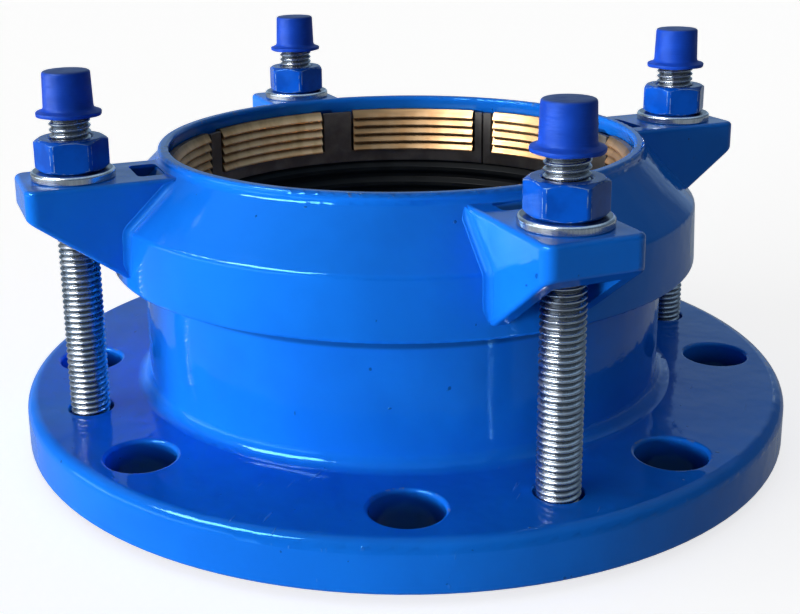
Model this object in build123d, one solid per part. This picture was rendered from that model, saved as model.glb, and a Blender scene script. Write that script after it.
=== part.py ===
"""Restrained flange adaptor for a 160 mm plastic pipe, DN150 flange, built in millimetres.

Z is the pipe's axis and points out of the socket. Z = 0 is the sealing face of the flange.
A tie bolt station is at 45 degrees from X, and the bolt holes are midway between stations.
"""

import os
from math import pi, radians, tan

from build123d import *

# The pipe and the clearance that it slides through with. All other radii build up from these.
PIPE_R = 80.0
SOCKET_CLEARANCE = 1.0
TOOTH_CLEARANCE = 1.3
LIP_CLEARANCE = 1.4

# Flange: drilled and faced to mate with a DN150 flange for 10 or 16 bar
FLANGE_T = 17.0
FLANGE_MARGIN = 20.0
FACE_H = 3.0
FACE_MARGIN = 14.5
BOLTS_PAST_TIES = 1.0
BOLT_COUNT = 8
BOLT_HOLE_R = 11.5
HOLE_EDGE_R = 1.3
FLANGE_EDGE_R = 4.0
FLANGE_UNDER_R = 1.5

# Sleeve that rises from the flange, with the gasket seat in its mouth
SLEEVE_WALL = 8.3
SLEEVE_H = 56.0
SLEEVE_FOOT_R = 5.0
SLEEVE_EDGE_R = 1.2
THROAT_H = 18.0
CHAMBER_DEPTH = 6.0
SEAT_DEPTH = 24.0
SEAT_WALL_TOP = 4.3
SEAT_TAPER = 5.0
SEAT_LEDGE_T = 5.0
SEAT_LEDGE_W = 3.5

# Gasket: a wedge ring with lips round its bore
GASKET_FIT = 0.25
GASKET_PROUD = 3.0
GASKET_LIPS = 4
LIP_DEPTH = 2.0
LIP_FLAT = 1.6
GASKET_EDGE_R = 0.8

# Grip ring: toothed brass segments in a split plastic cage
SEGMENT_COUNT = 8
SEGMENT_ARC = 36.3
SEGMENT_H = 17.4
SEGMENT_FOOT_T = 10.2
TOOTH_COUNT = 5
TOOTH_DEPTH = 1.7
TOOTH_LAND = 0.5
CONE_ANGLE = 20.0
CONE_GAP = 0.3
CAGE_BASE_H = 5.0
CAGE_RECESS = 0.8
CAGE_END_GAP = 1.1
CAGE_TOP_DROP = 0.5
CAGE_SLIT = 0.9
GRIP_ANGLE = 86.5
# How far each segment lies from even spacing, in degrees: they sit loosely in the cage
SEGMENT_SHIFTS = [-1.2, 0.0, -2.5, -1.0, 0.5, 1.0, -0.5, 1.0]

# Travel as the nuts are tightened
GLAND_TRAVEL = 6.0
CAGE_TRAVEL = 2.4
TRAVEL_SPARE = 0.3

# Gland: flared ring with a skirt over the sleeve and four hollow lugs
RIM_ABOVE_TEETH = 5.3
RIM_WALL = 4.7
RIM_BAND_H = 3.0
RIM_EDGE_R = 1.3
SHOULDER_DROP = 20.5
SHOULDER_EDGE_R = 2.5
SKIRT_DROP = 41.2
SKIRT_GAP = 3.1
SKIRT_WALL = 8.2
SKIRT_DRAFT = 0.6
SKIRT_EDGE_R = 1.2
STEP_R = 2.5

# Tie bolts and the lugs that they pull on
TIE_COUNT = 4
TIE_ANGLE = 45.0
TIE_STANDOFF = 12.4
TIE_R = 6.9
TIE_FLANGE_HOLE_R = 7.8
TIE_LUG_HOLE_R = 8.2
TIE_HEAD_AF = 22.0
TIE_HEAD_H = 8.8
HEAD_POCKET_DEPTH = 7.0
HEAD_POCKET_FIT = 0.3
LUG_DROP = 3.7
LUG_HALF_W = 16.5
LUG_REACH = 18.0
LUG_TOP_T = 5.0
LUG_RIB_T = 5.5
LUG_END_T = 5.5
LUG_END_H = 10.2
LUG_CORNER_R = 4.0
LUG_EDGE_R = 1.6
LUG_FOOT_RISE = 5.0
WINDOW_HALF_W = 9.0
WINDOW_DEPTH = 9.5
WINDOW_GAP = 6.0
WINDOW_CORNER_R = 2.0

# Washers, nuts and end caps
WASHER_R = 14.0
WASHER_BORE_R = 7.5
WASHER_T = 3.0
WASHER_EDGE = 0.4
WASHER_CROWN_R = 1.0
NUT_AF = 22.0
NUT_H = 11.0
NUT_CORNER_R = 12.3
NUT_CHAMFER_R = 10.6
NUT_FIT = 0.07
NUT_TURNS = [-59.0, -84.0, -55.0, -75.0]
THREAD_SHOWN = 20.6
CAP_GAP = 7.0
CAP_FIT = 0.1
CAP_TOP_T = 1.5
CAP_TOP_R = 7.9
CAP_BASE_R = 8.3
CAP_BRIM_R = 10.9
CAP_BRIM_T = 1.4
CAP_BRIM_RISE = 1.7
CAP_BRIM_DROOP = 0.7
CAP_LIP_W = 1.2
CAP_EDGE_R = 1.1
PAST = 5.0

# Heights and radii that follow from the sizes above
FLANGE_TOP_Z = FACE_H + FLANGE_T
SLEEVE_TOP_Z = FLANGE_TOP_Z + SLEEVE_H
SEAT_Z = SLEEVE_TOP_Z - SEAT_DEPTH
CAGE_Z = SLEEVE_TOP_Z + GASKET_PROUD
SEGMENT_Z = CAGE_Z + CAGE_BASE_H
SEGMENT_TOP_Z = SEGMENT_Z + SEGMENT_H
RIM_Z = SEGMENT_TOP_Z + RIM_ABOVE_TEETH
SHOULDER_Z = RIM_Z - SHOULDER_DROP
SKIRT_Z = RIM_Z - SKIRT_DROP
STEP_Z = SLEEVE_TOP_Z + GLAND_TRAVEL + 1.0
LUG_Z = RIM_Z - LUG_DROP
WASHER_TOP_Z = LUG_Z + WASHER_T
NUT_TOP_Z = WASHER_TOP_Z + NUT_H
TIE_TOP_Z = NUT_TOP_Z + THREAD_SHOWN
CAP_Z = NUT_TOP_Z + CAP_GAP
POCKET_TOP_Z = FACE_H + HEAD_POCKET_DEPTH
THROAT_R = PIPE_R + SOCKET_CLEARANCE
TOOTH_TIP_R = PIPE_R + TOOTH_CLEARANCE
LIP_R = PIPE_R + LIP_CLEARANCE
CAGE_R = TOOTH_TIP_R + CAGE_RECESS
CHAMBER_R = THROAT_R + CHAMBER_DEPTH
SLEEVE_R = CHAMBER_R + SLEEVE_WALL
SEAT_TOP_R = SLEEVE_R - SEAT_WALL_TOP
SEAT_LOW_R = SEAT_TOP_R - SEAT_TAPER
SKIRT_IN_R = SLEEVE_R + SKIRT_GAP
SKIRT_R = SKIRT_IN_R + SKIRT_WALL
SHOULDER_R = SKIRT_R - SKIRT_DRAFT
TIE_CIRCLE_R = SKIRT_R + TIE_STANDOFF
BOLT_CIRCLE_R = TIE_CIRCLE_R + BOLTS_PAST_TIES
FLANGE_R = BOLT_CIRCLE_R + FLANGE_MARGIN
FACE_R = BOLT_CIRCLE_R - FACE_MARGIN
CONE_SLOPE = tan(radians(CONE_ANGLE))
LUG_END_R = TIE_CIRCLE_R + LUG_REACH


def segment_back_r(z):
    """Radius of the segments' conical backs at a height."""
    return TOOTH_TIP_R + SEGMENT_FOOT_T - (z - SEGMENT_Z) * CONE_SLOPE


def gland_cone_r(z):
    """Radius of the gland's cone at a height."""
    return segment_back_r(z) + CONE_GAP


def segment_angle(index):
    """Direction of the middle of a segment, in degrees from X."""
    even = GRIP_ANGLE + (index + 0.5) * 360.0 / SEGMENT_COUNT
    return even + SEGMENT_SHIFTS[index % len(SEGMENT_SHIFTS)]


def section(points):
    """A face in the plane of radius and height, from corners given as (radius, height, rounding)."""
    corners = [(r, z) for r, z, _ in points]
    outline = FilletPolyline(*corners, radius=[edge for _, _, edge in points], close=True)
    return Plane.XZ * make_face(outline)


def turned(points, arc=360.0):
    return revolve(section(points), Axis.Z, revolution_arc=arc)


def at_station(index, shape):
    return Rot(0, 0, TIE_ANGLE + index * 360.0 / TIE_COUNT) * Pos(TIE_CIRCLE_R, 0, 0) * shape


def hexagon(across_flats, low, high):
    outline = RegularPolygon(across_flats / 2, 6, major_radius=False, rotation=30)
    return Pos(0, 0, low) * extrude(outline, high - low)


def hole_cutter(radius, low, high, edge):
    """A round hole whose top edge is rounded over."""
    rim = radius + 2 * edge
    return turned(
        [
            (0, low - PAST, 0),
            (radius, low - PAST, 0),
            (radius, high, edge),
            (rim, high, 0),
            (rim, high + PAST, 0),
            (0, high + PAST, 0),
        ]
    )


def make_flange_body():
    """Flange, sleeve and gasket seat: one iron casting."""
    ledge_r = SEAT_LOW_R - SEAT_LEDGE_W
    ledge_z = SEAT_Z - SEAT_LEDGE_T
    body = turned(
        [
            (THROAT_R, 0, 1.0),
            (FACE_R, 0, 0.6),
            (FACE_R, FACE_H, 0.6),
            (FLANGE_R, FACE_H, FLANGE_UNDER_R),
            (FLANGE_R, FLANGE_TOP_Z, FLANGE_EDGE_R),
            (SLEEVE_R, FLANGE_TOP_Z, SLEEVE_FOOT_R),
            (SLEEVE_R, SLEEVE_TOP_Z, SLEEVE_EDGE_R),
            (SEAT_TOP_R, SLEEVE_TOP_Z, SLEEVE_EDGE_R),
            (SEAT_LOW_R, SEAT_Z, 0),
            (ledge_r, SEAT_Z, 0.5),
            (ledge_r, ledge_z, 1.0),
            (CHAMBER_R, ledge_z - (CHAMBER_R - ledge_r), 3.0),
            (CHAMBER_R, THROAT_H + CHAMBER_DEPTH, 3.0),
            (THROAT_R, THROAT_H, 1.0),
        ]
    )
    bolt_hole = hole_cutter(BOLT_HOLE_R, 0, FLANGE_TOP_Z, HOLE_EDGE_R)
    first = TIE_ANGLE + 180.0 / BOLT_COUNT
    for place in PolarLocations(BOLT_CIRCLE_R, BOLT_COUNT, start_angle=first):
        body -= place * bolt_hole
    tie_hole = hole_cutter(TIE_FLANGE_HOLE_R, 0, FLANGE_TOP_Z, HOLE_EDGE_R / 2)
    pocket = hexagon(TIE_HEAD_AF + 2 * HEAD_POCKET_FIT, FACE_H - PAST, POCKET_TOP_Z)
    for index in range(TIE_COUNT):
        body -= at_station(index, tie_hole + pocket)
    return body


def make_gasket():
    """Rubber wedge ring, with lips that the pipe slides through."""
    back_low = SEAT_LOW_R - GASKET_FIT
    back_top = SEAT_TOP_R - GASKET_FIT
    height = CAGE_Z - SEAT_Z
    pitch = height / GASKET_LIPS
    groove_r = LIP_R + LIP_DEPTH
    points = [
        (groove_r, SEAT_Z, 0),
        (back_low, SEAT_Z, GASKET_EDGE_R),
        (back_top, SLEEVE_TOP_Z, 0),
        (back_top, CAGE_Z, GASKET_EDGE_R),
        (groove_r, CAGE_Z, 0),
    ]
    for lip in reversed(range(GASKET_LIPS)):
        middle = SEAT_Z + (lip + 0.5) * pitch
        points += [
            (groove_r, middle + LIP_FLAT + LIP_DEPTH / 2, 0.4),
            (LIP_R, middle + LIP_FLAT / 2, 0.4),
            (LIP_R, middle - LIP_FLAT / 2, 0.4),
            (groove_r, middle - LIP_FLAT - LIP_DEPTH / 2, 0.4),
        ]
    return turned(points)


def make_segment():
    """One brass grip segment, its middle on the X axis."""
    root_r = TOOTH_TIP_R + TOOTH_DEPTH
    pitch = SEGMENT_H / TOOTH_COUNT
    points = [
        (segment_back_r(SEGMENT_Z), SEGMENT_Z, 0.5),
        (segment_back_r(SEGMENT_TOP_Z), SEGMENT_TOP_Z, 0.5),
    ]
    for tooth in reversed(range(TOOTH_COUNT)):
        low = SEGMENT_Z + tooth * pitch
        points += [
            (root_r, low + pitch, 0),
            (TOOTH_TIP_R, low + TOOTH_LAND, 0),
            (TOOTH_TIP_R, low, 0),
        ]
    return Rot(0, 0, -SEGMENT_ARC / 2) * turned(points, SEGMENT_ARC)


def make_cage():
    """Split plastic ring that carries the segments, with a bar between each two."""
    squeeze = (GLAND_TRAVEL - CAGE_TRAVEL) * CONE_SLOPE + TRAVEL_SPARE
    top_z = SEGMENT_TOP_Z - CAGE_TOP_DROP
    back_low = segment_back_r(SEGMENT_Z) - squeeze
    back_top = segment_back_r(top_z) - squeeze
    cage = turned(
        [
            (CAGE_R, CAGE_Z, 0.5),
            (back_low, CAGE_Z, 0.5),
            (back_low, SEGMENT_Z, 0),
            (back_top, top_z, 0.3),
            (CAGE_R, top_z, 0.3),
        ]
    )
    window_arc = SEGMENT_ARC + 2 * CAGE_END_GAP / TOOTH_TIP_R * 180.0 / pi
    window = turned(
        [
            (CAGE_R - PAST, SEGMENT_Z, 0),
            (back_low + PAST, SEGMENT_Z, 0),
            (back_low + PAST, top_z + PAST, 0),
            (CAGE_R - PAST, top_z + PAST, 0),
        ],
        window_arc,
    )
    for index in range(SEGMENT_COUNT):
        cage -= Rot(0, 0, segment_angle(index) - window_arc / 2) * window
    slit = Pos(CAGE_R + PAST, 0, CAGE_Z) * Box(4 * PAST, CAGE_SLIT, 4 * (top_z - CAGE_Z))
    return cage - Rot(0, 0, GRIP_ANGLE) * slit


def make_lug():
    """One hollow lug, on the X axis, before it joins the ring."""
    inside_r = gland_cone_r(LUG_Z) + 1.0
    foot_z = SKIRT_Z + LUG_FOOT_RISE
    end_low_z = LUG_Z - LUG_END_H
    side = Plane.XZ * make_face(
        Polyline(
            (inside_r, foot_z),
            (SKIRT_R, foot_z),
            (LUG_END_R, end_low_z),
            (LUG_END_R, LUG_Z),
            (inside_r, LUG_Z),
            close=True,
        )
    )
    plan = make_face(
        FilletPolyline(
            (inside_r, -LUG_HALF_W),
            (LUG_END_R, -LUG_HALF_W),
            (LUG_END_R, LUG_HALF_W),
            (inside_r, LUG_HALF_W),
            radius=[0, LUG_CORNER_R, LUG_CORNER_R, 0],
            close=True,
        )
    )
    block = extrude(side, LUG_HALF_W, both=True) & Pos(0, 0, SKIRT_Z) * extrude(plan, RIM_Z - SKIRT_Z)
    rise = (end_low_z - foot_z) / (LUG_END_R - SKIRT_R)

    def on_top(edge):
        return edge.center().X > inside_r + 1.0 and abs(edge.center().Z - LUG_Z) < 0.01

    def on_slope(edge):
        middle = edge @ 0.5
        return middle.X > SKIRT_R + 1.0 and abs(middle.Z - foot_z - rise * (middle.X - SKIRT_R)) < 0.02

    block = fillet(block.edges().filter_by(on_top), LUG_EDGE_R)
    block = fillet(block.edges().filter_by(on_slope), LUG_EDGE_R)

    hollow_top = LUG_Z - LUG_TOP_T
    hollow_reach = LUG_END_R - LUG_END_T - inside_r
    hollow = Pos(inside_r + hollow_reach / 2, 0, foot_z) * Box(
        hollow_reach,
        2 * (LUG_HALF_W - LUG_RIB_T),
        2 * (hollow_top - foot_z),
    )
    window_out = TIE_CIRCLE_R - WASHER_R - WINDOW_GAP
    window = make_face(
        FilletPolyline(
            (window_out - WINDOW_DEPTH, -WINDOW_HALF_W),
            (window_out, -WINDOW_HALF_W),
            (window_out, WINDOW_HALF_W),
            (window_out - WINDOW_DEPTH, WINDOW_HALF_W),
            radius=WINDOW_CORNER_R,
            close=True,
        )
    )
    block -= hollow
    block -= Pos(0, 0, hollow_top - PAST) * extrude(window, LUG_TOP_T + 2 * PAST)
    return block - Pos(TIE_CIRCLE_R, 0, 0) * hole_cutter(TIE_LUG_HOLE_R, hollow_top, LUG_Z, HOLE_EDGE_R / 2)


def make_gland():
    """Flared ring, skirt and four lugs: one iron casting."""
    rim_r = gland_cone_r(RIM_Z) + RIM_WALL
    outside = [
        (rim_r, RIM_Z, RIM_EDGE_R),
        (rim_r, RIM_Z - RIM_BAND_H, STEP_R),
        (SHOULDER_R, SHOULDER_Z, SHOULDER_EDGE_R),
        (SKIRT_R, SKIRT_Z, SKIRT_EDGE_R),
    ]
    core_r = THROAT_R / 2
    gland = turned([(core_r, SKIRT_Z, 0), (core_r, RIM_Z, 0)] + outside)
    lug = make_lug()
    for index in range(TIE_COUNT):
        gland += Rot(0, 0, TIE_ANGLE + index * 360.0 / TIE_COUNT) * lug
    skirt_mouth = SKIRT_IN_R + 2 * SKIRT_EDGE_R
    rim_mouth = gland_cone_r(RIM_Z) + 2 * RIM_EDGE_R
    gland -= turned(
        [
            (0, SKIRT_Z - PAST, 0),
            (skirt_mouth, SKIRT_Z - PAST, 0),
            (skirt_mouth, SKIRT_Z, 0),
            (SKIRT_IN_R, SKIRT_Z, SKIRT_EDGE_R),
            (SKIRT_IN_R, STEP_Z, STEP_R),
            (gland_cone_r(STEP_Z), STEP_Z, 0.8),
            (gland_cone_r(RIM_Z), RIM_Z, RIM_EDGE_R),
            (rim_mouth, RIM_Z, 0),
            (rim_mouth, RIM_Z + PAST, 0),
            (0, RIM_Z + PAST, 0),
        ]
    )
    return gland


def make_tie_bolt():
    """Hexagon head bolt, up through the flange, on the Z axis."""
    low = POCKET_TOP_Z - TIE_HEAD_H
    head = hexagon(TIE_HEAD_AF, low, POCKET_TOP_Z)
    head &= turned(
        [
            (0, low, 0),
            (NUT_CHAMFER_R, low, 0),
            (NUT_CHAMFER_R + 2 * PAST, low + PAST, 0),
            (NUT_CHAMFER_R + 2 * PAST, POCKET_TOP_Z, 0),
            (0, POCKET_TOP_Z, 0),
        ]
    )
    return head + turned(
        [
            (0, POCKET_TOP_Z - PAST, 0),
            (TIE_R, POCKET_TOP_Z - PAST, 0),
            (TIE_R, TIE_TOP_Z - 1.0, 0),
            (TIE_R - 1.0, TIE_TOP_Z, 0),
            (0, TIE_TOP_Z, 0),
        ]
    )


def make_washer():
    return turned(
        [
            (WASHER_BORE_R, LUG_Z, 0),
            (WASHER_R, LUG_Z, WASHER_EDGE),
            (WASHER_R, WASHER_TOP_Z, WASHER_CROWN_R),
            (WASHER_BORE_R, WASHER_TOP_Z, WASHER_EDGE),
        ]
    )


def make_nut(turn):
    """Hexagon nut with both ends chamfered, turned so that one flat faces the given direction."""
    nut = hexagon(NUT_AF, WASHER_TOP_Z, NUT_TOP_Z)
    run = NUT_CORNER_R - NUT_CHAMFER_R
    rise = run * tan(radians(30.0))
    bore_r = TIE_R + NUT_FIT
    nut &= turned(
        [
            (bore_r, WASHER_TOP_Z, 0.6),
            (NUT_CHAMFER_R, WASHER_TOP_Z, 0),
            (NUT_CORNER_R, WASHER_TOP_Z + rise, 0),
            (NUT_CORNER_R, NUT_TOP_Z - rise, 0),
            (NUT_CHAMFER_R, NUT_TOP_Z, 0),
            (bore_r, NUT_TOP_Z, 0.6),
        ]
    )
    return Rot(0, 0, turn) * nut


def make_cap():
    """Soft plastic cap pushed onto the end of a tie bolt, with a brim that droops."""
    bore_r = TIE_R + CAP_FIT
    top_z = TIE_TOP_Z + CAP_TOP_T
    lip_r = CAP_BRIM_R - CAP_LIP_W
    brim_top_z = CAP_Z + CAP_BRIM_T
    return turned(
        [
            (0, TIE_TOP_Z, 0),
            (bore_r, TIE_TOP_Z, 0),
            (bore_r, CAP_Z + CAP_BRIM_DROOP, 0),
            (lip_r, CAP_Z, 0.3),
            (CAP_BRIM_R, CAP_Z, 0.5),
            (CAP_BRIM_R, brim_top_z, 0.6),
            (CAP_BASE_R, brim_top_z + CAP_BRIM_RISE, 1.0),
            (CAP_TOP_R, top_z, CAP_EDGE_R),
            (0, top_z, 0),
        ]
    )


def main():
    os.makedirs("parts", exist_ok=True)
    parts = {
        "flange_body": make_flange_body(),
        "gland": make_gland(),
        "gasket": make_gasket(),
        "grip_cage": make_cage(),
    }
    segment = make_segment()
    for index in range(SEGMENT_COUNT):
        parts[f"grip_segment_{index + 1}"] = Rot(0, 0, segment_angle(index)) * segment
    for index in range(TIE_COUNT):
        station = TIE_ANGLE + index * 360.0 / TIE_COUNT
        parts[f"tie_bolt_{index + 1}"] = at_station(index, make_tie_bolt())
        parts[f"washer_{index + 1}"] = at_station(index, make_washer())
        parts[f"nut_{index + 1}"] = at_station(index, make_nut(NUT_TURNS[index % len(NUT_TURNS)] - station))
        parts[f"end_cap_{index + 1}"] = at_station(index, make_cap())
    for name, shape in parts.items():
        export_step(shape, f"parts/{name}.step")


main()
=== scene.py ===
"""Looks of the flange adaptor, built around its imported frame. Metres, Z up along the pipe's axis."""

import math

import bmesh
import bpy
from mathutils import Matrix, Vector


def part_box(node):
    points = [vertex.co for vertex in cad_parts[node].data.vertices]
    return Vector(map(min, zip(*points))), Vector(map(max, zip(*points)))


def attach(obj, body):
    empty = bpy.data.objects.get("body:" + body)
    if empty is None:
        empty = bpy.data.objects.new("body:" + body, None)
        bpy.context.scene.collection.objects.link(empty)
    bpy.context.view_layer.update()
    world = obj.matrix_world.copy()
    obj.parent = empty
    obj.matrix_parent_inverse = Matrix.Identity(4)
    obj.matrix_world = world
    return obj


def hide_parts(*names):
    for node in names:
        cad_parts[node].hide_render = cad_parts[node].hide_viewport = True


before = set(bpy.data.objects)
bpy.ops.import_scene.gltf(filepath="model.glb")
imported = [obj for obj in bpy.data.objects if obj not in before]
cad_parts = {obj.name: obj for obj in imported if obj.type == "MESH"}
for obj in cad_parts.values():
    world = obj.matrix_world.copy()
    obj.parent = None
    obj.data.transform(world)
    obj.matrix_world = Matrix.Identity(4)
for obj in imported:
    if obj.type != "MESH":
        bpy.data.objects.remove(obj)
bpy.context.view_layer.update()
MM = 0.001

# Camera: fitted to the photo's perspective, as a distance from a point beside the axis
CAMERA_AZIMUTH = math.radians(23.95)
CAMERA_ELEVATION = math.radians(14.95)
CAMERA_ROLL = math.radians(-0.958)
CAMERA_DISTANCE = 468.3 * MM
AIM_ASIDE = -16.3 * MM
AIM_HEIGHT = 78.2 * MM
LENS = 56.43
SENSOR_WIDTH = 36.0
SHIFT_X = 0.0541
SHIFT_Y = -0.12
TOWARDS_CAMERA = Vector((math.sin(CAMERA_AZIMUTH), -math.cos(CAMERA_AZIMUTH), 0.0))
TO_THE_RIGHT = Vector((math.cos(CAMERA_AZIMUTH), math.sin(CAMERA_AZIMUTH), 0.0))
STRAIGHT_UP = Vector((0.0, 0.0, 1.0))

# Colours, as linear values. A "shine" tints the reflections of a coating
EPOXY_BLUE = (0.006, 0.180, 0.84)
EPOXY_DEEP = (0.005, 0.157, 0.76)
EPOXY_SHINE = (0.14, 0.58, 1.0)
EPOXY_PALE = (0.16, 0.42, 0.90)
# Painted shade, for the bolt holes, the lug windows and under the skirt
PAINTED_SHADE_BLUE = (0.001, 0.018, 0.10)
CHIP_GREY = (0.16, 0.22, 0.32)
NUT_BLUE = (0.001, 0.075, 0.50)
NUT_DEEP = (0.001, 0.055, 0.38)
# Rubbed edges and painted highlight on the nuts
NUT_WORN_HIGHLIGHT = (0.16, 0.27, 0.46)
NUT_SHINE = (0.14, 0.5, 1.0)
CAP_BLUE = (0.008, 0.062, 0.50)
CAP_DEEP = (0.006, 0.048, 0.40)
# Painted sheen on the caps' tops
CAP_PAINTED_SHEEN = (0.06, 0.10, 0.20)
CAP_SHINE = (0.25, 0.5, 1.0)
STEEL = (0.46, 0.49, 0.53)
# Dark steel: thread roots, and the dark part of the washers' painted reflection
STEEL_DARK = (0.11, 0.12, 0.13)
WASHER_STEEL = (0.78, 0.80, 0.83)
BRASS = (0.92, 0.57, 0.29)
BRASS_WARM = (0.74, 0.41, 0.18)
# Painted shade in the grooves of the brass teeth
BRASS_DARK = (0.32, 0.19, 0.09)
RUBBER = (0.004, 0.008, 0.011)
CAGE_BROWN = (0.105, 0.100, 0.094)

# How strongly the marks and the painted shade on the coating show
SPECK_TONE = 0.55
HOLE_PAINTED_SHADE = 0.8
WINDOW_PAINTED_SHADE = 0.7
SKIRT_PAINTED_SHADE = 0.6
CHIP_STRENGTH = 0.6
SCRATCH_STRENGTH = 0.22
SCUFF_STRENGTH = 0.65

# Flange: its top, and its bolt holes
FLANGE_TOP_Z = 20.0 * MM
HOLES = 8
FIRST_HOLE = math.radians(22.5)
HOLE_CIRCLE_R = 120.0 * MM
HOLE_R = 11.5 * MM

# Tie bolts: M14 by 2, with the rod starting inside the head
PITCH = 2.0 * MM
THREAD_DEPTH = 1.0 * MM
THREAD_STEPS = 8
THREAD_SIDES = 48
BOLT_R = 6.9 * MM
BOLT_END_R = 5.3 * MM
BOLT_HEAD_H = 8.8 * MM
ROD_START = 6.0 * MM
ROD_TURN = 1.3

# Hexagons of the nuts and bolt heads
HEX_FLAT_R = 11.0 * MM
HEX_CORNER_R = 12.3 * MM
HEX_CHAMFER_R = 10.5 * MM
HEX_SLOPE = math.tan(math.radians(33.0))
HEX_ANGLES = (-30.0, -27.0, -20.0, -10.0, 0.0, 10.0, 20.0, 27.0)
HEX_LEAD = 0.6 * MM
HEAD_TURN = 30.0
NUT_BORE_R = 6.95 * MM
NUT_BEVEL = 0.42 * MM
NUT_TURNS = (-59.0, -84.0, -55.0, -75.0)
SHARP_ANGLE = math.radians(14.0)
NORMAL_WEIGHT = 90

# Stations: where the bolts, lugs, washers and caps stand
STATIONS = 4
STATION_R = 119.0 * MM
FIRST_STATION = 45.0
WASHER_R = 14.0 * MM
WASHER_TOP = 106.0 * MM

# Caps, in mm: the outline as (radius, height, corner radius), and the brim that isn't quite round
CAP_OUTLINE = (
    (0.0, 139.1, 0.0),
    (7.9, 139.1, 1.1),
    (8.3, 126.5, 1.6),
    (10.9, 125.3, 0.5),
    (10.75, 124.05, 0.3),
    (9.9, 124.05, 0.3),
    (8.6, 124.8, 0.5),
    (7.02, 125.0, 0.3),
    (7.02, 137.62, 0.0),
    (0.0, 137.62, 0.0),
)
CAP_TOP = 139.1 * MM
CAP_SIDES = 96
CORNER_STEPS = 5
BRIM_R = 9.0 * MM
BRIM_DROOP = 0.22
BRIM_SQUEEZE = 0.006
BRIM_TURN = 1.7

# Brass segments: radii between which the teeth take painted shade, and segments darkened as painted shade
SEGMENTS = 8
TOOTH_CREST_R = 81.5 * MM
TOOTH_GROOVE_R = 82.8 * MM
PAINTED_SHADE_SEGMENTS = (1, 8)
PAINTED_SHADE_TONE = 0.42

# Gland and sleeve: the outline that the lugs grow from, and the lugs with their windows
RIM_Z = 106.7 * MM
RIM_R = 88.24 * MM
RIM_BAND_H = 3.0 * MM
SHOULDER_R = 106.0 * MM
SHOULDER_Z = 86.2 * MM
SHOULDER_EDGE_R = 2.5 * MM
SHOULDER_STEPS = 9
SKIRT_R = 106.6 * MM
SKIRT_Z = 65.5 * MM
SLEEVE_R = 95.3 * MM
LUG_HALF_W = 16.5 * MM
LUG_TOP_Z = 103.0 * MM
LUG_FOOT_Z = 70.5 * MM
WINDOW_MIDDLE_R = 94.25 * MM
LUG_FILLET_R = 2.6 * MM
FILLET_STEP = 1.0 * MM
FILLET_SINK = 0.4 * MM
FILLET_FADE = 5.0 * MM
FILLET_LEAST = 0.18
FILLET_ARC_STEPS = 8

# Floor: what the camera sees, what gloss sees, and what it bounces
FLOOR_SIZE = 12.0
FLOOR_GLOW = 0.72
GLOSS_GLOW = 0.2
FLOOR_BOUNCE = (0.40, 0.40, 0.40)
FLOOR_WHITE = (0.78, 0.78, 0.78)
FLOOR_IN_GLOSS = (0.42, 0.58, 0.72)

# Room: a low window at the left front, a dim ceiling and a backdrop. Each spread is a pair of cosines
# between which it fades in
WHITE = (1.0, 1.0, 1.0)
WINDOW_LIGHT = 39.5
WINDOW_TURN = math.radians(70.0)
WINDOW_RISE = 0.03
WINDOW_SPREAD = (0.80, 0.93)
WINDOW_TOP = (0.02, 0.22)
WINDOW_REFLECTION = 2.5
CEILING_LIGHT = 0.12
CEILING_SPREAD = (0.45, 0.80)
CEILING_REFLECTION = 0.3
BACKDROP_SPREAD = (0.62, 0.88)
BACKDROP_REFLECTION = 0.46
BACKDROP_EDGE = 0.35
EDGE_SPREAD = (-0.05, 0.25)
ROOM_LIGHT = 0.15
COOL_ROOM = (0.66, 0.95, 1.30)

# Lamp that only gloss sees
STRIP_TURN = math.radians(60.0)
STRIP_AWAY = 1.20
STRIP_UP = 1.20
STRIP_AIM = Vector((0.0, 0.0, 0.06))
STRIP_WIDTH = 1.05
STRIP_HEIGHT = 0.42
STRIP_POWER = 46.0


def node(tree, kind, **settings):
    made = tree.nodes.new(kind)
    for key, value in settings.items():
        setattr(made, key, value)
    return made


def new_material(name, metallic=0.0, specular=0.5, shine=WHITE):
    """A node material with its constants set: returns the material, its tree and its shader."""
    material = bpy.data.materials.new(name)
    material.use_nodes = True
    tree = material.node_tree
    shader = tree.nodes["Principled BSDF"]
    shader.inputs["Metallic"].default_value = metallic
    shader.inputs["Specular IOR Level"].default_value = specular
    shader.inputs["Specular Tint"].default_value = (*shine, 1.0)
    return material, tree, shader


def connect(tree, shader, colour, roughness, normal):
    """Joins the three inputs that vary over a surface."""
    for name, value in (("Base Color", colour), ("Roughness", roughness), ("Normal", normal)):
        tree.links.new(value, shader.inputs[name])


def maths(tree, operation, first, second=0.0):
    """One arithmetic step on values or sockets."""
    made = node(tree, "ShaderNodeMath", operation=operation)
    for socket, value in zip(made.inputs, (first, second)):
        if isinstance(value, (int, float)):
            socket.default_value = value
        else:
            tree.links.new(value, socket)
    return made.outputs[0]


def times(tree, *factors):
    """The product of values or sockets."""
    product = factors[0]
    for factor in factors[1:]:
        product = maths(tree, "MULTIPLY", product, factor)
    return product


def noise(tree, scale, detail=2.0, roughness=0.5, stretch=(1.0, 1.0, 1.0)):
    """Noise in the object's own coordinates, with a scale in cycles per metre."""
    place = node(tree, "ShaderNodeTexCoord")
    spread = node(tree, "ShaderNodeMapping")
    spread.inputs["Scale"].default_value = stretch
    texture = node(tree, "ShaderNodeTexNoise")
    texture.inputs["Scale"].default_value = scale
    texture.inputs["Detail"].default_value = detail
    texture.inputs["Roughness"].default_value = roughness
    tree.links.new(place.outputs["Object"], spread.inputs["Vector"])
    tree.links.new(spread.outputs["Vector"], texture.inputs["Vector"])
    return texture.outputs["Fac"]


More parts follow.
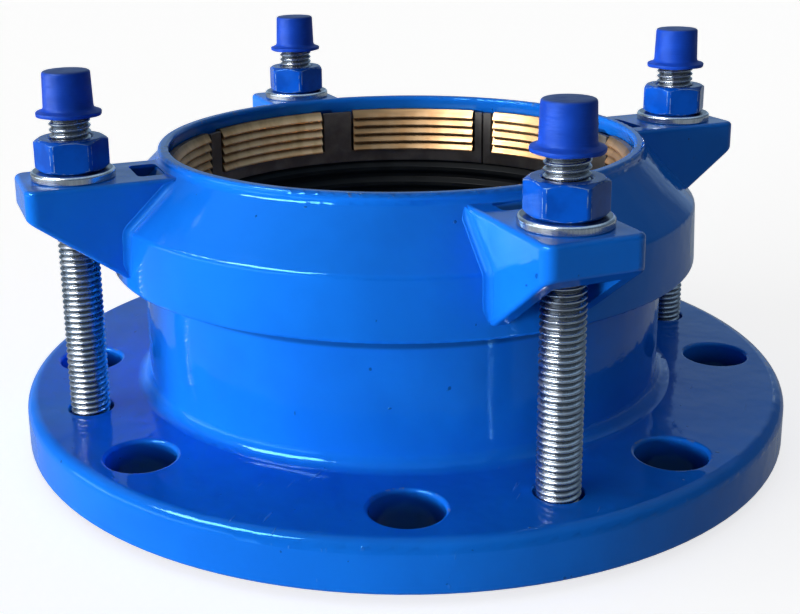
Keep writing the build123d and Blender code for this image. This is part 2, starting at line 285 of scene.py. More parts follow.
def ramp(tree, value, low, high, from_value=0.0, to_value=1.0):
    """A smooth step of a value between two thresholds."""
    made = node(tree, "ShaderNodeMapRange", interpolation_type="SMOOTHSTEP")
    made.inputs["From Min"].default_value = low
    made.inputs["From Max"].default_value = high
    made.inputs["To Min"].default_value = from_value
    made.inputs["To Max"].default_value = to_value
    tree.links.new(value, made.inputs["Value"])
    return made.outputs["Result"]


def below(tree, value, low, high):
    """1 under the lower threshold and 0 over the upper one."""
    return ramp(tree, value, low, high, 1.0, 0.0)


def band(tree, value, rise, fall):
    """1 between two smooth steps, each given as its pair of thresholds."""
    return times(tree, ramp(tree, value, *rise), below(tree, value, *fall))


def mix_colour(tree, factor, first, second):
    made = node(tree, "ShaderNodeMix", data_type="RGBA")
    tree.links.new(factor, made.inputs["Factor"])
    for socket, colour in ((made.inputs["A"], first), (made.inputs["B"], second)):
        if isinstance(colour, tuple):
            socket.default_value = (*colour, 1.0)
        else:
            tree.links.new(colour, socket)
    return made.outputs["Result"]


def paint(tree, under, colour, strength, *masks):
    """A colour laid over another one where all masks are 1."""
    return mix_colour(tree, times(tree, *masks, strength), under, colour)


def clouded(tree, first, second, **grain):
    """Two colours mixed in soft clouds."""
    return mix_colour(tree, ramp(tree, noise(tree, **grain), 0.35, 0.65), first, second)


def toned(colour, tone):
    return tuple(tone * channel for channel in colour)


def bump(tree, height, distance, under=None):
    made = node(tree, "ShaderNodeBump")
    made.inputs["Distance"].default_value = distance
    tree.links.new(height, made.inputs["Height"])
    if under is not None:
        tree.links.new(under, made.inputs["Normal"])
    return made.outputs["Normal"]


def own_coordinates(tree):
    """The object's own X, Y and Z."""
    place = node(tree, "ShaderNodeTexCoord")
    split = node(tree, "ShaderNodeSeparateXYZ")
    tree.links.new(place.outputs["Object"], split.inputs["Vector"])
    return split.outputs


def radius_from_axis(tree):
    """Distance from the object's own Z axis."""
    place = node(tree, "ShaderNodeTexCoord")
    flat = node(tree, "ShaderNodeVectorMath", operation="MULTIPLY")
    flat.inputs[1].default_value = (1.0, 1.0, 0.0)
    length = node(tree, "ShaderNodeVectorMath", operation="LENGTH")
    tree.links.new(place.outputs["Object"], flat.inputs[0])
    tree.links.new(flat.outputs["Vector"], length.inputs[0])
    return length.outputs["Value"]


def distance_to_nearest(tree, count, first, circle_r):
    """Distance on plan from the nearest of some places that are evenly spaced on a circle."""
    own = own_coordinates(tree)
    step = 2.0 * math.pi / count
    turn = maths(tree, "SUBTRACT", maths(tree, "ARCTAN2", own["Y"], own["X"]), first)
    nearest = times(tree, maths(tree, "ROUND", maths(tree, "DIVIDE", turn, step)), step)
    away = maths(tree, "SUBTRACT", turn, nearest)
    r = radius_from_axis(tree)
    along = maths(tree, "SUBTRACT", times(tree, r, maths(tree, "COSINE", away)), circle_r)
    across = times(tree, r, maths(tree, "SINE", away))
    squares = maths(tree, "ADD", maths(tree, "POWER", along, 2.0), maths(tree, "POWER", across, 2.0))
    return maths(tree, "SQRT", squares)


def painted_coat_shade(tree, tint, height):
    """Painted shade, where little light gets in: darkens bolt holes, lug windows and under the skirt."""
    # Painted shade deep in the bolt holes
    from_hole = distance_to_nearest(tree, HOLES, FIRST_HOLE, HOLE_CIRCLE_R)
    in_hole = below(tree, from_hole, HOLE_R + 0.1 * MM, HOLE_R + 0.5 * MM)
    deep = below(tree, height, FLANGE_TOP_Z - 9.0 * MM, FLANGE_TOP_Z - 1.2 * MM)
    tint = paint(tree, tint, PAINTED_SHADE_BLUE, HOLE_PAINTED_SHADE, in_hole, deep)

    # Painted shade inside the lug windows
    from_window = distance_to_nearest(tree, STATIONS, math.radians(FIRST_STATION), WINDOW_MIDDLE_R)
    in_window = below(tree, from_window, 9.6 * MM, 10.4 * MM)
    bottom = (LUG_TOP_Z - 15.0 * MM, LUG_TOP_Z - 11.0 * MM)
    in_lug = band(tree, height, bottom, (LUG_TOP_Z - 1.6 * MM, LUG_TOP_Z - 0.6 * MM))
    tint = paint(tree, tint, PAINTED_SHADE_BLUE, WINDOW_PAINTED_SHADE, in_window, in_lug)

    # Painted shadow on the sleeve just under the skirt's edge
    edge = (SKIRT_Z - 6.2 * MM, SKIRT_Z - 4.9 * MM)
    under_skirt = band(tree, height, edge, (SKIRT_Z, SKIRT_Z + 1.0 * MM))
    on_sleeve = below(tree, radius_from_axis(tree), SLEEVE_R + 0.3 * MM, SLEEVE_R + 1.0 * MM)
    return paint(tree, tint, PAINTED_SHADE_BLUE, SKIRT_PAINTED_SHADE, under_skirt, on_sleeve)


def coat_chips(tree, height):
    """Mask of the chipped lips of the bolt holes."""
    from_hole = distance_to_nearest(tree, HOLES, FIRST_HOLE, HOLE_CIRCLE_R)
    lip = band(tree, from_hole, (HOLE_R, HOLE_R + 0.5 * MM), (HOLE_R + 0.9 * MM, HOLE_R + 1.5 * MM))
    on_top = ramp(tree, height, FLANGE_TOP_Z - 0.6 * MM, FLANGE_TOP_Z - 0.1 * MM)
    broken = ramp(tree, noise(tree, scale=170.0, detail=4.0, roughness=0.7), 0.56, 0.66)
    return times(tree, lip, on_top, broken)


def coat_scratches(tree, height):
    """Mask of the fine scratches in patches on the flange."""
    lines = ramp(tree, noise(tree, scale=620.0, detail=2.0, stretch=(1.0, 0.09, 0.35)), 0.70, 0.74)
    patches = ramp(tree, noise(tree, scale=17.0, detail=1.0), 0.50, 0.62)
    return times(tree, lines, patches, below(tree, height, FLANGE_TOP_Z, FLANGE_TOP_Z + 0.4 * MM))


def coat_scuffs(tree, height):
    """Mask of the scuffs in patches on the gland's rim."""
    on_rim = ramp(tree, height, RIM_Z - 1.5 * MM, RIM_Z - 0.7 * MM)
    rubbed = ramp(tree, noise(tree, scale=240.0, detail=5.0, roughness=0.75), 0.56, 0.62)
    return times(tree, on_rim, rubbed, ramp(tree, noise(tree, scale=12.0, detail=1.0), 0.40, 0.50))


def epoxy():
    """Thick glossy fusion-bonded coating, with orange peel, runs, specks, worn spots and painted shade."""
    material, tree, shader = new_material("epoxy_coat", shine=EPOXY_SHINE)
    height = own_coordinates(tree)["Z"]
    specks = ramp(tree, noise(tree, scale=310.0, detail=1.0), 0.785, 0.81)
    scratches = coat_scratches(tree, height)
    scuffs = coat_scuffs(tree, height)
    tint = clouded(tree, EPOXY_BLUE, EPOXY_DEEP, scale=26.0, detail=3.0)
    tint = mix_colour(tree, specks, tint, toned(EPOXY_DEEP, SPECK_TONE))
    tint = painted_coat_shade(tree, tint, height)
    tint = paint(tree, tint, CHIP_GREY, CHIP_STRENGTH, coat_chips(tree, height))
    tint = paint(tree, tint, EPOXY_PALE, SCRATCH_STRENGTH, scratches)
    tint = paint(tree, tint, CHIP_GREY, SCUFF_STRENGTH, scuffs)
    haze = ramp(tree, noise(tree, scale=60.0, detail=4.0, roughness=0.7), 0.35, 0.75, 0.05, 0.11)
    peel = bump(tree, noise(tree, scale=420.0, detail=2.0), 0.04 * MM)
    waves = bump(tree, noise(tree, scale=120.0, detail=1.0), 0.22 * MM, peel)
    runs = bump(tree, noise(tree, scale=34.0, detail=1.0, stretch=(1.0, 1.0, 0.6)), 0.8 * MM, waves)
    marks = maths(tree, "ADD", maths(tree, "ADD", specks, scratches), scuffs)
    connect(tree, shader, tint, haze, bump(tree, marks, 0.15 * MM, runs))
    return material


def pooled_epoxy():
    """The same coating where it has pooled in inside corners: satin, with the orange peel filled in."""
    material, tree, shader = new_material("pooled_coat", specular=0.12, shine=EPOXY_SHINE)
    tint = clouded(tree, EPOXY_BLUE, EPOXY_DEEP, scale=26.0, detail=3.0)
    haze = ramp(tree, noise(tree, scale=60.0, detail=4.0, roughness=0.7), 0.35, 0.75, 0.30, 0.42)
    connect(tree, shader, tint, haze, bump(tree, noise(tree, scale=120.0, detail=1.0), 0.1 * MM))
    return material


def stainless():
    """Rolled thread: bright crests, darker roots, patches of grime."""
    material, tree, shader = new_material("stainless_thread", metallic=1.0)
    crest = ramp(tree, radius_from_axis(tree), BOLT_R - THREAD_DEPTH, BOLT_R - 0.45 * THREAD_DEPTH)
    grime = ramp(tree, noise(tree, scale=240.0, detail=4.0, roughness=0.6), 0.35, 0.7)
    lighter_share = times(tree, crest, ramp(tree, grime, 0.0, 1.0, 1.0, 0.72))
    tint = mix_colour(tree, lighter_share, STEEL_DARK, STEEL)
    nicks = noise(tree, scale=900.0, detail=3.0, roughness=0.6, stretch=(1.0, 1.0, 2.5))
    connect(tree, shader, tint, ramp(tree, grime, 0.0, 1.0, 0.20, 0.33), bump(tree, nicks, 0.03 * MM))
    return material


def washer_steel():
    """Stamped washer with fine upright marks, and a painted reflection: bright crown, dark flat top,
    duller rim.
    """
    material, tree, shader = new_material("washer_steel", metallic=1.0)
    height = own_coordinates(tree)["Z"]
    aside = distance_to_nearest(tree, STATIONS, math.radians(FIRST_STATION), STATION_R)
    # Painted reflection: the rim duller, the crown bright and the flat top dark
    crown_painted_reflection = ramp(tree, height, WASHER_TOP - 1.1 * MM, WASHER_TOP - 0.3 * MM, 0.70, 1.0)
    on_top = ramp(tree, height, WASHER_TOP - 0.1 * MM, WASHER_TOP - 0.03 * MM)
    flat = times(tree, on_top, below(tree, aside, WASHER_R - 1.1 * MM, WASHER_R - 0.6 * MM))
    crown_painted_reflection = times(tree, crown_painted_reflection, ramp(tree, flat, 0.0, 1.0, 1.0, 0.1))
    smears = ramp(tree, noise(tree, scale=180.0, detail=3.0), 0.3, 0.8, 1.0, 0.85)
    marks = noise(tree, scale=1100.0, detail=3.0, roughness=0.6, stretch=(1.0, 1.0, 0.06))
    streaks = ramp(tree, marks, 0.3, 0.7)
    # Painted reflection, with the real smears and streaks
    shine = times(tree, crown_painted_reflection, smears, ramp(tree, streaks, 0.0, 1.0, 1.0, 0.8))
    tint = mix_colour(tree, shine, STEEL_DARK, WASHER_STEEL)
    connect(tree, shader, tint, ramp(tree, streaks, 0.0, 1.0, 0.18, 0.26), bump(tree, streaks, 0.01 * MM))
    return material


def nut_coat():
    """Blue coated nut, pale along its marked edges: partly rubbed, partly a painted highlight."""
    material, tree, shader = new_material("nut_coat", shine=NUT_SHINE)
    tint = clouded(tree, NUT_BLUE, NUT_DEEP, scale=160.0, detail=3.0)
    # Pale edges: partly rubbed, partly a painted highlight
    edge = node(tree, "ShaderNodeAttribute", attribute_name="wear_and_highlight").outputs["Fac"]
    patchy = ramp(tree, noise(tree, scale=420.0, detail=4.0, roughness=0.65), 0.38, 0.62, 0.15, 1.0)
    tint = mix_colour(tree, ramp(tree, times(tree, edge, patchy), 0.25, 0.8), tint, NUT_WORN_HIGHLIGHT)
    haze = ramp(tree, noise(tree, scale=90.0, detail=3.0), 0.3, 0.7, 0.12, 0.26)
    connect(tree, shader, tint, haze, bump(tree, noise(tree, scale=260.0, detail=3.0), 0.06 * MM))
    return material


def cap_plastic():
    """Soft dipped plastic, satin, with uneven rings round it and a grey painted sheen on its top."""
    material, tree, shader = new_material("cap_plastic", specular=0.2, shine=CAP_SHINE)
    tint = clouded(tree, CAP_BLUE, CAP_DEEP, scale=110.0, detail=3.0)
    # Painted sheen: the top face greyed as if it reflected the room
    painted_sheen = ramp(tree, own_coordinates(tree)["Z"], CAP_TOP - 0.6 * MM, CAP_TOP, 0.0, 0.55)
    tint = mix_colour(tree, painted_sheen, tint, CAP_PAINTED_SHEEN)
    haze = ramp(tree, noise(tree, scale=300.0, detail=3.0), 0.3, 0.7, 0.36, 0.48)
    rings = noise(tree, scale=330.0, detail=3.0, roughness=0.6, stretch=(0.35, 0.35, 2.2))
    skin = bump(tree, noise(tree, scale=900.0, detail=2.0), 0.02 * MM)
    connect(tree, shader, tint, haze, bump(tree, rings, 0.24 * MM, skin))
    return material


def brass(name, tone):
    """Machined brass teeth: light crests, painted shade in grooves, fine turning lines. Low tone: painted
    shade.
    """
    material, tree, shader = new_material(name, metallic=1.0)
    # Painted shade in the grooves between the teeth, deepest where stained
    groove_painted_shade = ramp(tree, radius_from_axis(tree), TOOTH_CREST_R, TOOTH_GROOVE_R)
    stain = noise(tree, scale=110.0, detail=4.0, roughness=0.6, stretch=(1.0, 1.0, 0.25))
    stain = ramp(tree, stain, 0.38, 0.66)
    crest = mix_colour(tree, stain, toned(BRASS, tone), toned(BRASS_WARM, tone))
    depth = times(tree, groove_painted_shade, ramp(tree, stain, 0.0, 1.0, 0.75, 1.0))
    tint = mix_colour(tree, depth, crest, BRASS_DARK)
    lines = noise(tree, scale=1600.0, detail=2.0, roughness=0.6, stretch=(0.05, 0.05, 1.0))
    connect(tree, shader, tint, ramp(tree, lines, 0.3, 0.7, 0.36, 0.48), bump(tree, lines, 0.02 * MM))
    return material


def moulded(name, colour, roughness, specular, grain, relief):
    """Moulded rubber or plastic with a cloudy bloom and a fine grain."""
    material, tree, shader = new_material(name, specular=specular)
    bloom = ramp(tree, noise(tree, scale=90.0, detail=4.0, roughness=0.6), 0.35, 0.7)
    tint = mix_colour(tree, bloom, colour, toned(colour, 1.7))
    haze = ramp(tree, bloom, 0.0, 1.0, roughness, roughness * 1.3)
    connect(tree, shader, tint, haze, bump(tree, noise(tree, scale=grain, detail=3.0), relief))
    return material


def dress(nodes, material):
    """Gives CAD nodes a material."""
    for name in nodes:
        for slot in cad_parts[name].material_slots:
            slot.material = material


def around(radius, angle, height):
    return radius * math.cos(angle), radius * math.sin(angle), height


def station(index):
    """Centre of a tie bolt station on the floor plane."""
    angle = math.radians(FIRST_STATION + index * 360.0 / STATIONS)
    return Vector(around(STATION_R, angle, 0.0))


def piece_from(bm, name, material, place=Vector((0.0, 0.0, 0.0))):
    """A smooth mesh object at a place, from mesh code."""
    bmesh.ops.recalc_face_normals(bm, faces=bm.faces)
    for face in bm.faces:
        face.smooth = True
    mesh = bpy.data.meshes.new(name)
    bm.to_mesh(mesh)
    bm.free()
    mesh.materials.append(material)
    made = bpy.data.objects.new(name, mesh)
    made.location = place
    bpy.context.scene.collection.objects.link(made)
    return made


def settle_normals(piece):
    """Large flat faces keep flat shading beside narrow rounded edges."""
    bpy.context.view_layer.objects.active = piece
    piece.modifiers.new("normals", "WEIGHTED_NORMAL").weight = NORMAL_WEIGHT
    bpy.ops.object.modifier_apply(modifier="normals")


def close_ends(bm):
    bmesh.ops.holes_fill(bm, edges=[edge for edge in bm.edges if edge.is_boundary])


def thread_radius(phase):
    """Radius of the rolled thread at a phase of 0 to 1 along one pitch."""
    wave = 0.5 + 0.5 * math.cos(2.0 * math.pi * phase)
    return BOLT_R - THREAD_DEPTH * (1.0 - wave ** 0.75)


def add_thread(bm, low, high):
    """A right-handed threaded rod between two heights, its ends chamfered and closed."""
    start = low - PITCH
    rows = math.ceil((high - start) / PITCH * THREAD_STEPS) + THREAD_STEPS + 2
    grid = []
    for row in range(rows):
        ring = []
        for side in range(THREAD_SIDES):
            turn = side / THREAD_SIDES
            z = min(max(start + PITCH * (row / THREAD_STEPS + turn), low), high)
            r = min(thread_radius(row / THREAD_STEPS), BOLT_END_R + (high - z), BOLT_END_R + (z - low))
            angle = 2.0 * math.pi * turn
            ring.append(bm.verts.new(around(r, angle, z)))
        grid.append(ring)
    for row in range(rows - 1):
        for side in range(THREAD_SIDES - 1):
            corners = (grid[row][side], grid[row][side + 1], grid[row + 1][side + 1], grid[row + 1][side])
            bm.faces.new(corners)
    for row in range(rows - 1 - THREAD_STEPS):
        above = row + THREAD_STEPS
        bm.faces.new((grid[row][-1], grid[above][0], grid[above + 1][0], grid[row + 1][-1]))
    bmesh.ops.remove_doubles(bm, verts=bm.verts, dist=1e-6)
    close_ends(bm)


def add_hexagon(bm, low, high, turn, bore):
    """A hexagon chamfered at both ends. A bore of 0 leaves it solid."""
    inner = max(bore, 1.0 * MM)
    lead = HEX_LEAD if bore else 0.0
    face_r = inner + lead + 0.1 * MM
    columns = []
    for side in range(6):
        for local in HEX_ANGLES:
            angle = math.radians(60.0 * side + local + turn)
            outer = min(HEX_FLAT_R / math.cos(math.radians(local)), HEX_CORNER_R)
            drop = (outer - HEX_CHAMFER_R) * HEX_SLOPE
            outline = [
                (inner, low + lead),
                (face_r, low),
                (HEX_CHAMFER_R, low),
                (outer, low + drop),
                (outer, high - drop),
                (HEX_CHAMFER_R, high),
                (face_r, high),
                (inner, high - lead),
            ]
            columns.append([bm.verts.new(around(r, angle, z)) for r, z in outline])
    count = len(columns[0])
    for index, column in enumerate(columns):
        following = columns[(index + 1) % len(columns)]
        for level in range(count):
            above = (level + 1) % count
            if bore or above:
                bm.faces.new((column[level], following[level], following[above], column[above]))
    if not bore:
        close_ends(bm)


def round_edges(bm, width, sharper_than):
    """Rounds the sharp edges and returns the vertices along their middles."""
    bm.normal_update()
    sharp = [edge for edge in bm.edges if edge.is_manifold and edge.calc_face_angle(0.0) > sharper_than]
    made = bmesh.ops.bevel(
        bm, geom=sharp, offset=width, segments=2, profile=0.5, affect="EDGES", clamp_overlap=True
    )
    new_faces = set(made["faces"])
    return [vert for vert in made["verts"] if all(face in new_faces for face in vert.link_faces)]


def make_bolts(material):
    """Threaded tie bolts with hexagon heads, in place of the plain ones."""
    for index in range(STATIONS):
        low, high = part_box(f"tie_bolt_{index + 1}")
        bm = bmesh.new()
        add_hexagon(bm, low.z, low.z + BOLT_HEAD_H, HEAD_TURN, 0.0)
        rod = bmesh.new()
        add_thread(rod, low.z + ROD_START, high.z)
        bmesh.ops.rotate(rod, verts=rod.verts, matrix=Matrix.Rotation(ROD_TURN * index, 3, "Z"))
        part = bpy.data.meshes.new("rod")
        rod.to_mesh(part)
        rod.free()
        bm.from_mesh(part)
        bpy.data.meshes.remove(part)
        bolt = piece_from(bm, f"threaded_bolt_{index + 1}", material, station(index))
        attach(bolt, "root")
        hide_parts(f"tie_bolt_{index + 1}")


def make_nuts(material):
    """Nuts with rounded edges, marked for the coating's rubbed edges and painted highlight."""
    for index in range(STATIONS):
        low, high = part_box(f"nut_{index + 1}")
        bm = bmesh.new()
        wear_and_highlight = bm.verts.layers.float.new("wear_and_highlight")
        add_hexagon(bm, low.z, high.z, NUT_TURNS[index], NUT_BORE_R)
        for vert in round_edges(bm, NUT_BEVEL, SHARP_ANGLE):
            vert[wear_and_highlight] = 1.0
        nut = piece_from(bm, f"coated_nut_{index + 1}", material, station(index))
        settle_normals(nut)
        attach(nut, f"nut_{index + 1}")
        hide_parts(f"nut_{index + 1}")


def rounded(outline):
    """A closed outline of (radius, height, corner radius in mm), with its corners rounded, in metres."""
    points = []
    count = len(outline)
    for index, (r, z, corner) in enumerate(outline):
        here = Vector((r, z))
        before = Vector(outline[index - 1][:2]) - here
        after = Vector(outline[(index + 1) % count][:2]) - here
        if corner == 0.0:
            points.append(here * MM)
            continue
        half = before.angle(after) / 2.0
        reach = min(corner / math.tan(half), 0.49 * before.length, 0.49 * after.length)
        start = here + before.normalized() * reach
        end = here + after.normalized() * reach
        for step in range(CORNER_STEPS + 1):
            share = step / CORNER_STEPS
            points.append((start.lerp(here, share)).lerp(here.lerp(end, share), share) * MM)
    return points


def add_turned(bm, points, sides):
    """Turns a closed outline round the Z axis. Points at radius 0 are shared."""
    rings = []
    for point in points:
        if point.x < 1e-6:
            rings.append([bm.verts.new((0.0, 0.0, point.y))] * sides)
            continue
        angles = [2.0 * math.pi * side / sides for side in range(sides)]
        rings.append([bm.verts.new(around(point.x, angle, point.y)) for angle in angles])
    for ring, above in zip(rings, rings[1:] + rings[:1]):
        for side in range(sides):
            beside = (side + 1) % sides
            corners = []
            for vert in (ring[side], ring[beside], above[beside], above[side]):
                if vert not in corners:
                    corners.append(vert)
            if len(corners) > 2:
                bm.faces.new(corners)


def make_caps(material):
    """Push-on caps: a slightly tapered cup with a thin brim that droops and isn't quite round."""
    points = rounded(CAP_OUTLINE)
    for index in range(STATIONS):
        bm = bmesh.new()
        add_turned(bm, points, CAP_SIDES)
        for vert in bm.verts:
            radius = math.hypot(vert.co.x, vert.co.y)
            angle = math.atan2(vert.co.y, vert.co.x) + BRIM_TURN * index
            if radius > BRIM_R:
                wave = 0.5 + 0.5 * math.sin(3.0 * angle) * math.sin(2.0 * angle + 1.0)
                vert.co.z += (radius - BRIM_R) * BRIM_DROOP * wave
                vert.co.x *= 1.0 - BRIM_SQUEEZE * wave
                vert.co.y *= 1.0 - BRIM_SQUEEZE * wave
        cap = piece_from(bm, f"soft_cap_{index + 1}", material, station(index))
        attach(cap, f"end_cap_{index + 1}")
        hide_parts(f"end_cap_{index + 1}")


def ring_outline():
    """Outside of the gland's ring, from the rim's foot to the skirt, as (radius, height, normal)."""
    cone = Vector((SHOULDER_R - RIM_R, SHOULDER_Z - (RIM_Z - RIM_BAND_H)))
    skirt = Vector((SKIRT_R - SHOULDER_R, SKIRT_Z - SHOULDER_Z))
    along_cone = cone.normalized()
    along_skirt = skirt.normalized()
    cone_normal = Vector((-along_cone.y, along_cone.x))
    skirt_normal = Vector((-along_skirt.y, along_skirt.x))
    turn = math.acos(along_cone.dot(along_skirt))
    trim = SHOULDER_EDGE_R * math.tan(turn / 2.0)
    corner = Vector((SHOULDER_R, SHOULDER_Z))
    top = Vector((RIM_R, RIM_Z - RIM_BAND_H))
    points = []
    run = (corner - top).length - trim
    for index in range(int(run / FILLET_STEP) + 1):
        points.append((top + along_cone * min(index * FILLET_STEP, run), cone_normal))
    centre = corner - along_cone * trim - cone_normal * SHOULDER_EDGE_R
    for index in range(1, SHOULDER_STEPS):
        angle = turn * index / SHOULDER_STEPS
        normal = Matrix.Rotation(-angle, 2) @ cone_normal
        points.append((centre + normal * SHOULDER_EDGE_R, normal))
    start = corner + along_skirt * trim
    run = start.y - LUG_FOOT_Z
    for index in range(int(run / FILLET_STEP) + 1):
        points.append((start + along_skirt * (index * FILLET_STEP), skirt_normal))
    return points


def fillet_section(point, normal, radius, side):
    """Arc that blends the ring at an outline point into one side face of a lug on the X axis."""
    centre_r = point.x + normal.x * radius
    centre_y = side * (LUG_HALF_W + radius)
    centre = Vector((math.sqrt(centre_r ** 2 - centre_y ** 2), centre_y, point.y + normal.y * radius))
    angle = math.atan2(centre.y, centre.x)
    to_ring = -Vector((normal.x * math.cos(angle), normal.x * math.sin(angle), normal.y))
    to_side = Vector((0.0, -side, 0.0))
    whole = to_ring.angle(to_side)
    arc = []
    for index in range(FILLET_ARC_STEPS + 1):
        share = index / FILLET_ARC_STEPS
        direction = math.sin((1.0 - share) * whole) * to_ring + math.sin(share * whole) * to_side
        arc.append(centre + direction / math.sin(whole) * radius)
    return arc


def make_lug_fillets(material):
    """The soft blends between the cast lugs and the ring, one mesh for all four lugs."""
    bm = bmesh.new()
    outline = [entry for entry in ring_outline() if entry[0].y < LUG_TOP_Z - FILLET_SINK]
    for index in range(STATIONS):
        turn = Matrix.Rotation(math.radians(FIRST_STATION + index * 360.0 / STATIONS), 3, "Z")
        for side in (-1.0, 1.0):
            rows = []
            for count, (point, normal) in enumerate(outline):
                near_end = min(count, len(outline) - 1 - count) * FILLET_STEP
                radius = LUG_FILLET_R * min(1.0, FILLET_LEAST + near_end / FILLET_FADE)
                arc = fillet_section(point, normal, radius, side)
                sunk_ring = arc[0] - FILLET_SINK * Vector((arc[0].x, arc[0].y, 0.0)).normalized()
                sunk_side = arc[-1] - Vector((0.0, side * FILLET_SINK, 0.0))
                core = Vector((arc[0].x, arc[-1].y, arc[0].z)) - FILLET_SINK * Vector((1.0, side, 0.0))
                rows.append([bm.verts.new(turn @ place) for place in [*arc, sunk_side, core, sunk_ring]])
            width = len(rows[0])
            for upper, lower in zip(rows, rows[1:]):
                for column in range(width):
                    beside = (column + 1) % width
                    bm.faces.new((upper[column], upper[beside], lower[beside], lower[column]))
            bm.faces.new(rows[0])
            bm.faces.new(rows[-1])
    fillets = piece_from(bm, "gland_lug_fillets", material)
    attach(fillets, "gland")


def make_floor():
    """Pale floor: near white to the camera, dimmer and bluish to gloss, and grey to bounced light."""
    bpy.ops.mesh.primitive_plane_add(size=FLOOR_SIZE, location=(0.0, 0.0, 0.0))
    floor = bpy.context.object
    floor.name = "floor"
    material, tree, shader = new_material("floor_white", specular=0.0)
    path = node(tree, "ShaderNodeLightPath").outputs
    seen = maths(tree, "MAXIMUM", path["Is Camera Ray"], path["Is Glossy Ray"])
    seen = maths(tree, "MAXIMUM", seen, path["Is Transmission Ray"])
    looked_at = mix_colour(tree, path["Is Camera Ray"], FLOOR_IN_GLOSS, FLOOR_WHITE)
    tree.links.new(mix_colour(tree, seen, FLOOR_BOUNCE, looked_at), shader.inputs["Base Color"])
    shader.inputs["Roughness"].default_value = 0.9
    shader.inputs["Emission Color"].default_value = (*WHITE, 1.0)
    glow = maths(tree, "MAXIMUM", path["Is Camera Ray"], times(tree, seen, GLOSS_GLOW))
    tree.links.new(times(tree, glow, FLOOR_GLOW), shader.inputs["Emission Strength"])
    floor.data.materials.append(material)


def towards(tree, direction, low, high):
    """How far the world's rays point in a direction, between two cosines."""
    place = node(tree, "ShaderNodeTexCoord")
    dot = node(tree, "ShaderNodeVectorMath", operation="DOT_PRODUCT")
    dot.inputs[1].default_value = direction
    tree.links.new(place.outputs["Generated"], dot.inputs[0])
    return ramp(tree, dot.outputs["Value"], low, high)


def choose(tree, factor, otherwise, chosen):
    """One of two strengths, each a value or a socket."""
    made = node(tree, "ShaderNodeMapRange")
    for socket, value in ((made.inputs["To Min"], otherwise), (made.inputs["To Max"], chosen)):
        if isinstance(value, float):
            socket.default_value = value
        else:
            tree.links.new(value, socket)
    tree.links.new(factor, made.inputs["Value"])
    return made.outputs["Result"]


def make_world():
    """White to the camera. A low window gives most of the light, and gloss sees a dimmer, cooler room."""
    world = bpy.data.worlds.new("studio")
    bpy.context.scene.world = world
    world.use_nodes = True
    tree = world.node_tree
    background = tree.nodes["Background"]

    window_way = TOWARDS_CAMERA * math.cos(WINDOW_TURN) - TO_THE_RIGHT * math.sin(WINDOW_TURN)
    window_way = (window_way + STRAIGHT_UP * WINDOW_RISE).normalized()
    low_down = maths(tree, "SUBTRACT", 1.0, towards(tree, STRAIGHT_UP, *WINDOW_TOP))
    window = times(tree, towards(tree, window_way, *WINDOW_SPREAD), low_down)
    ceiling = towards(tree, STRAIGHT_UP, *CEILING_SPREAD)
    light = maths(tree, "ADD", times(tree, window, WINDOW_LIGHT), times(tree, ceiling, CEILING_LIGHT))
    light = maths(tree, "ADD", light, ROOM_LIGHT)

    edges = times(tree, towards(tree, -TOWARDS_CAMERA, *EDGE_SPREAD), BACKDROP_EDGE)
    backdrop = maths(tree, "MAXIMUM", edges, towards(tree, -TOWARDS_CAMERA, *BACKDROP_SPREAD))
    backdrop = times(tree, backdrop, maths(tree, "SUBTRACT", 1.0, ceiling))
    mirrored = maths(tree, "MINIMUM", light, WINDOW_REFLECTION)
    mirrored = maths(tree, "ADD", mirrored, times(tree, ceiling, CEILING_REFLECTION))
    mirrored = maths(tree, "MAXIMUM", mirrored, times(tree, backdrop, BACKDROP_REFLECTION))

    path = node(tree, "ShaderNodeLightPath").outputs
    gloss = maths(tree, "MAXIMUM", path["Is Glossy Ray"], path["Is Transmission Ray"])
    tree.links.new(mix_colour(tree, gloss, WHITE, COOL_ROOM), background.inputs["Color"])
    strength = choose(tree, path["Is Camera Ray"], choose(tree, gloss, light, mirrored), 1.0)
    tree.links.new(strength, background.inputs["Strength"])


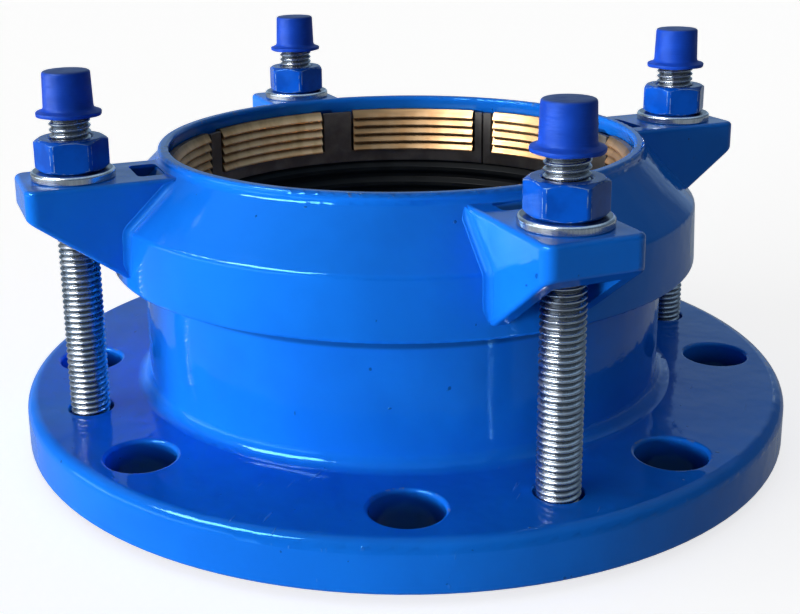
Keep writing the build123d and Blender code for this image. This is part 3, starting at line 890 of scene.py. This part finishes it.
def make_strip():
    """Area lamp that only gloss sees. It draws the narrow highlights along the edges."""
    data = bpy.data.lights.new("strip", "AREA")
    data.shape = "RECTANGLE"
    data.size = STRIP_WIDTH
    data.size_y = STRIP_HEIGHT
    data.energy = STRIP_POWER
    lamp = bpy.data.objects.new("strip", data)
    left_front = TOWARDS_CAMERA * math.cos(STRIP_TURN) - TO_THE_RIGHT * math.sin(STRIP_TURN)
    lamp.location = left_front * STRIP_AWAY + STRAIGHT_UP * STRIP_UP
    lamp.rotation_euler = (STRIP_AIM - lamp.location).to_track_quat("-Z", "Y").to_euler()
    lamp.visible_diffuse = False
    bpy.context.scene.collection.objects.link(lamp)


def make_camera():
    data = bpy.data.cameras.new("camera")
    data.sensor_width = SENSOR_WIDTH
    data.lens = LENS
    data.shift_x = SHIFT_X
    data.shift_y = SHIFT_Y
    camera = bpy.data.objects.new("camera", data)
    bpy.context.scene.collection.objects.link(camera)
    back = TOWARDS_CAMERA * math.cos(CAMERA_ELEVATION) + STRAIGHT_UP * math.sin(CAMERA_ELEVATION)
    up = back.cross(TO_THE_RIGHT)
    rolled_right = TO_THE_RIGHT * math.cos(CAMERA_ROLL) + up * math.sin(CAMERA_ROLL)
    rolled_up = up * math.cos(CAMERA_ROLL) - TO_THE_RIGHT * math.sin(CAMERA_ROLL)
    turn = Matrix((rolled_right, rolled_up, back)).transposed().to_4x4()
    place = STRAIGHT_UP * AIM_HEIGHT + TO_THE_RIGHT * AIM_ASIDE + back * CAMERA_DISTANCE
    camera.matrix_world = Matrix.Translation(place) @ turn
    bpy.context.scene.camera = camera


dress(["flange_body", "gland"], epoxy())
dress([f"washer_{n}" for n in range(1, STATIONS + 1)], washer_steel())
dress([f"grip_segment_{n}" for n in range(1, SEGMENTS + 1) if n not in PAINTED_SHADE_SEGMENTS], brass("brass", 1.0))
# These segments are darkened all over as painted shade
dress([f"grip_segment_{n}" for n in PAINTED_SHADE_SEGMENTS], brass("brass_painted_shade", PAINTED_SHADE_TONE))
rubber = moulded("rubber", RUBBER, roughness=0.50, specular=0.12, grain=500.0, relief=0.04 * MM)
plastic = moulded("cage_plastic", CAGE_BROWN, roughness=0.38, specular=0.25, grain=350.0, relief=0.03 * MM)
dress(["gasket"], rubber)
dress(["grip_cage"], plastic)
make_bolts(stainless())
make_nuts(nut_coat())
make_caps(cap_plastic())
make_lug_fillets(pooled_epoxy())

make_floor()
make_world()
make_strip()
make_camera()
bpy.context.scene.view_settings.view_transform = "Standard"
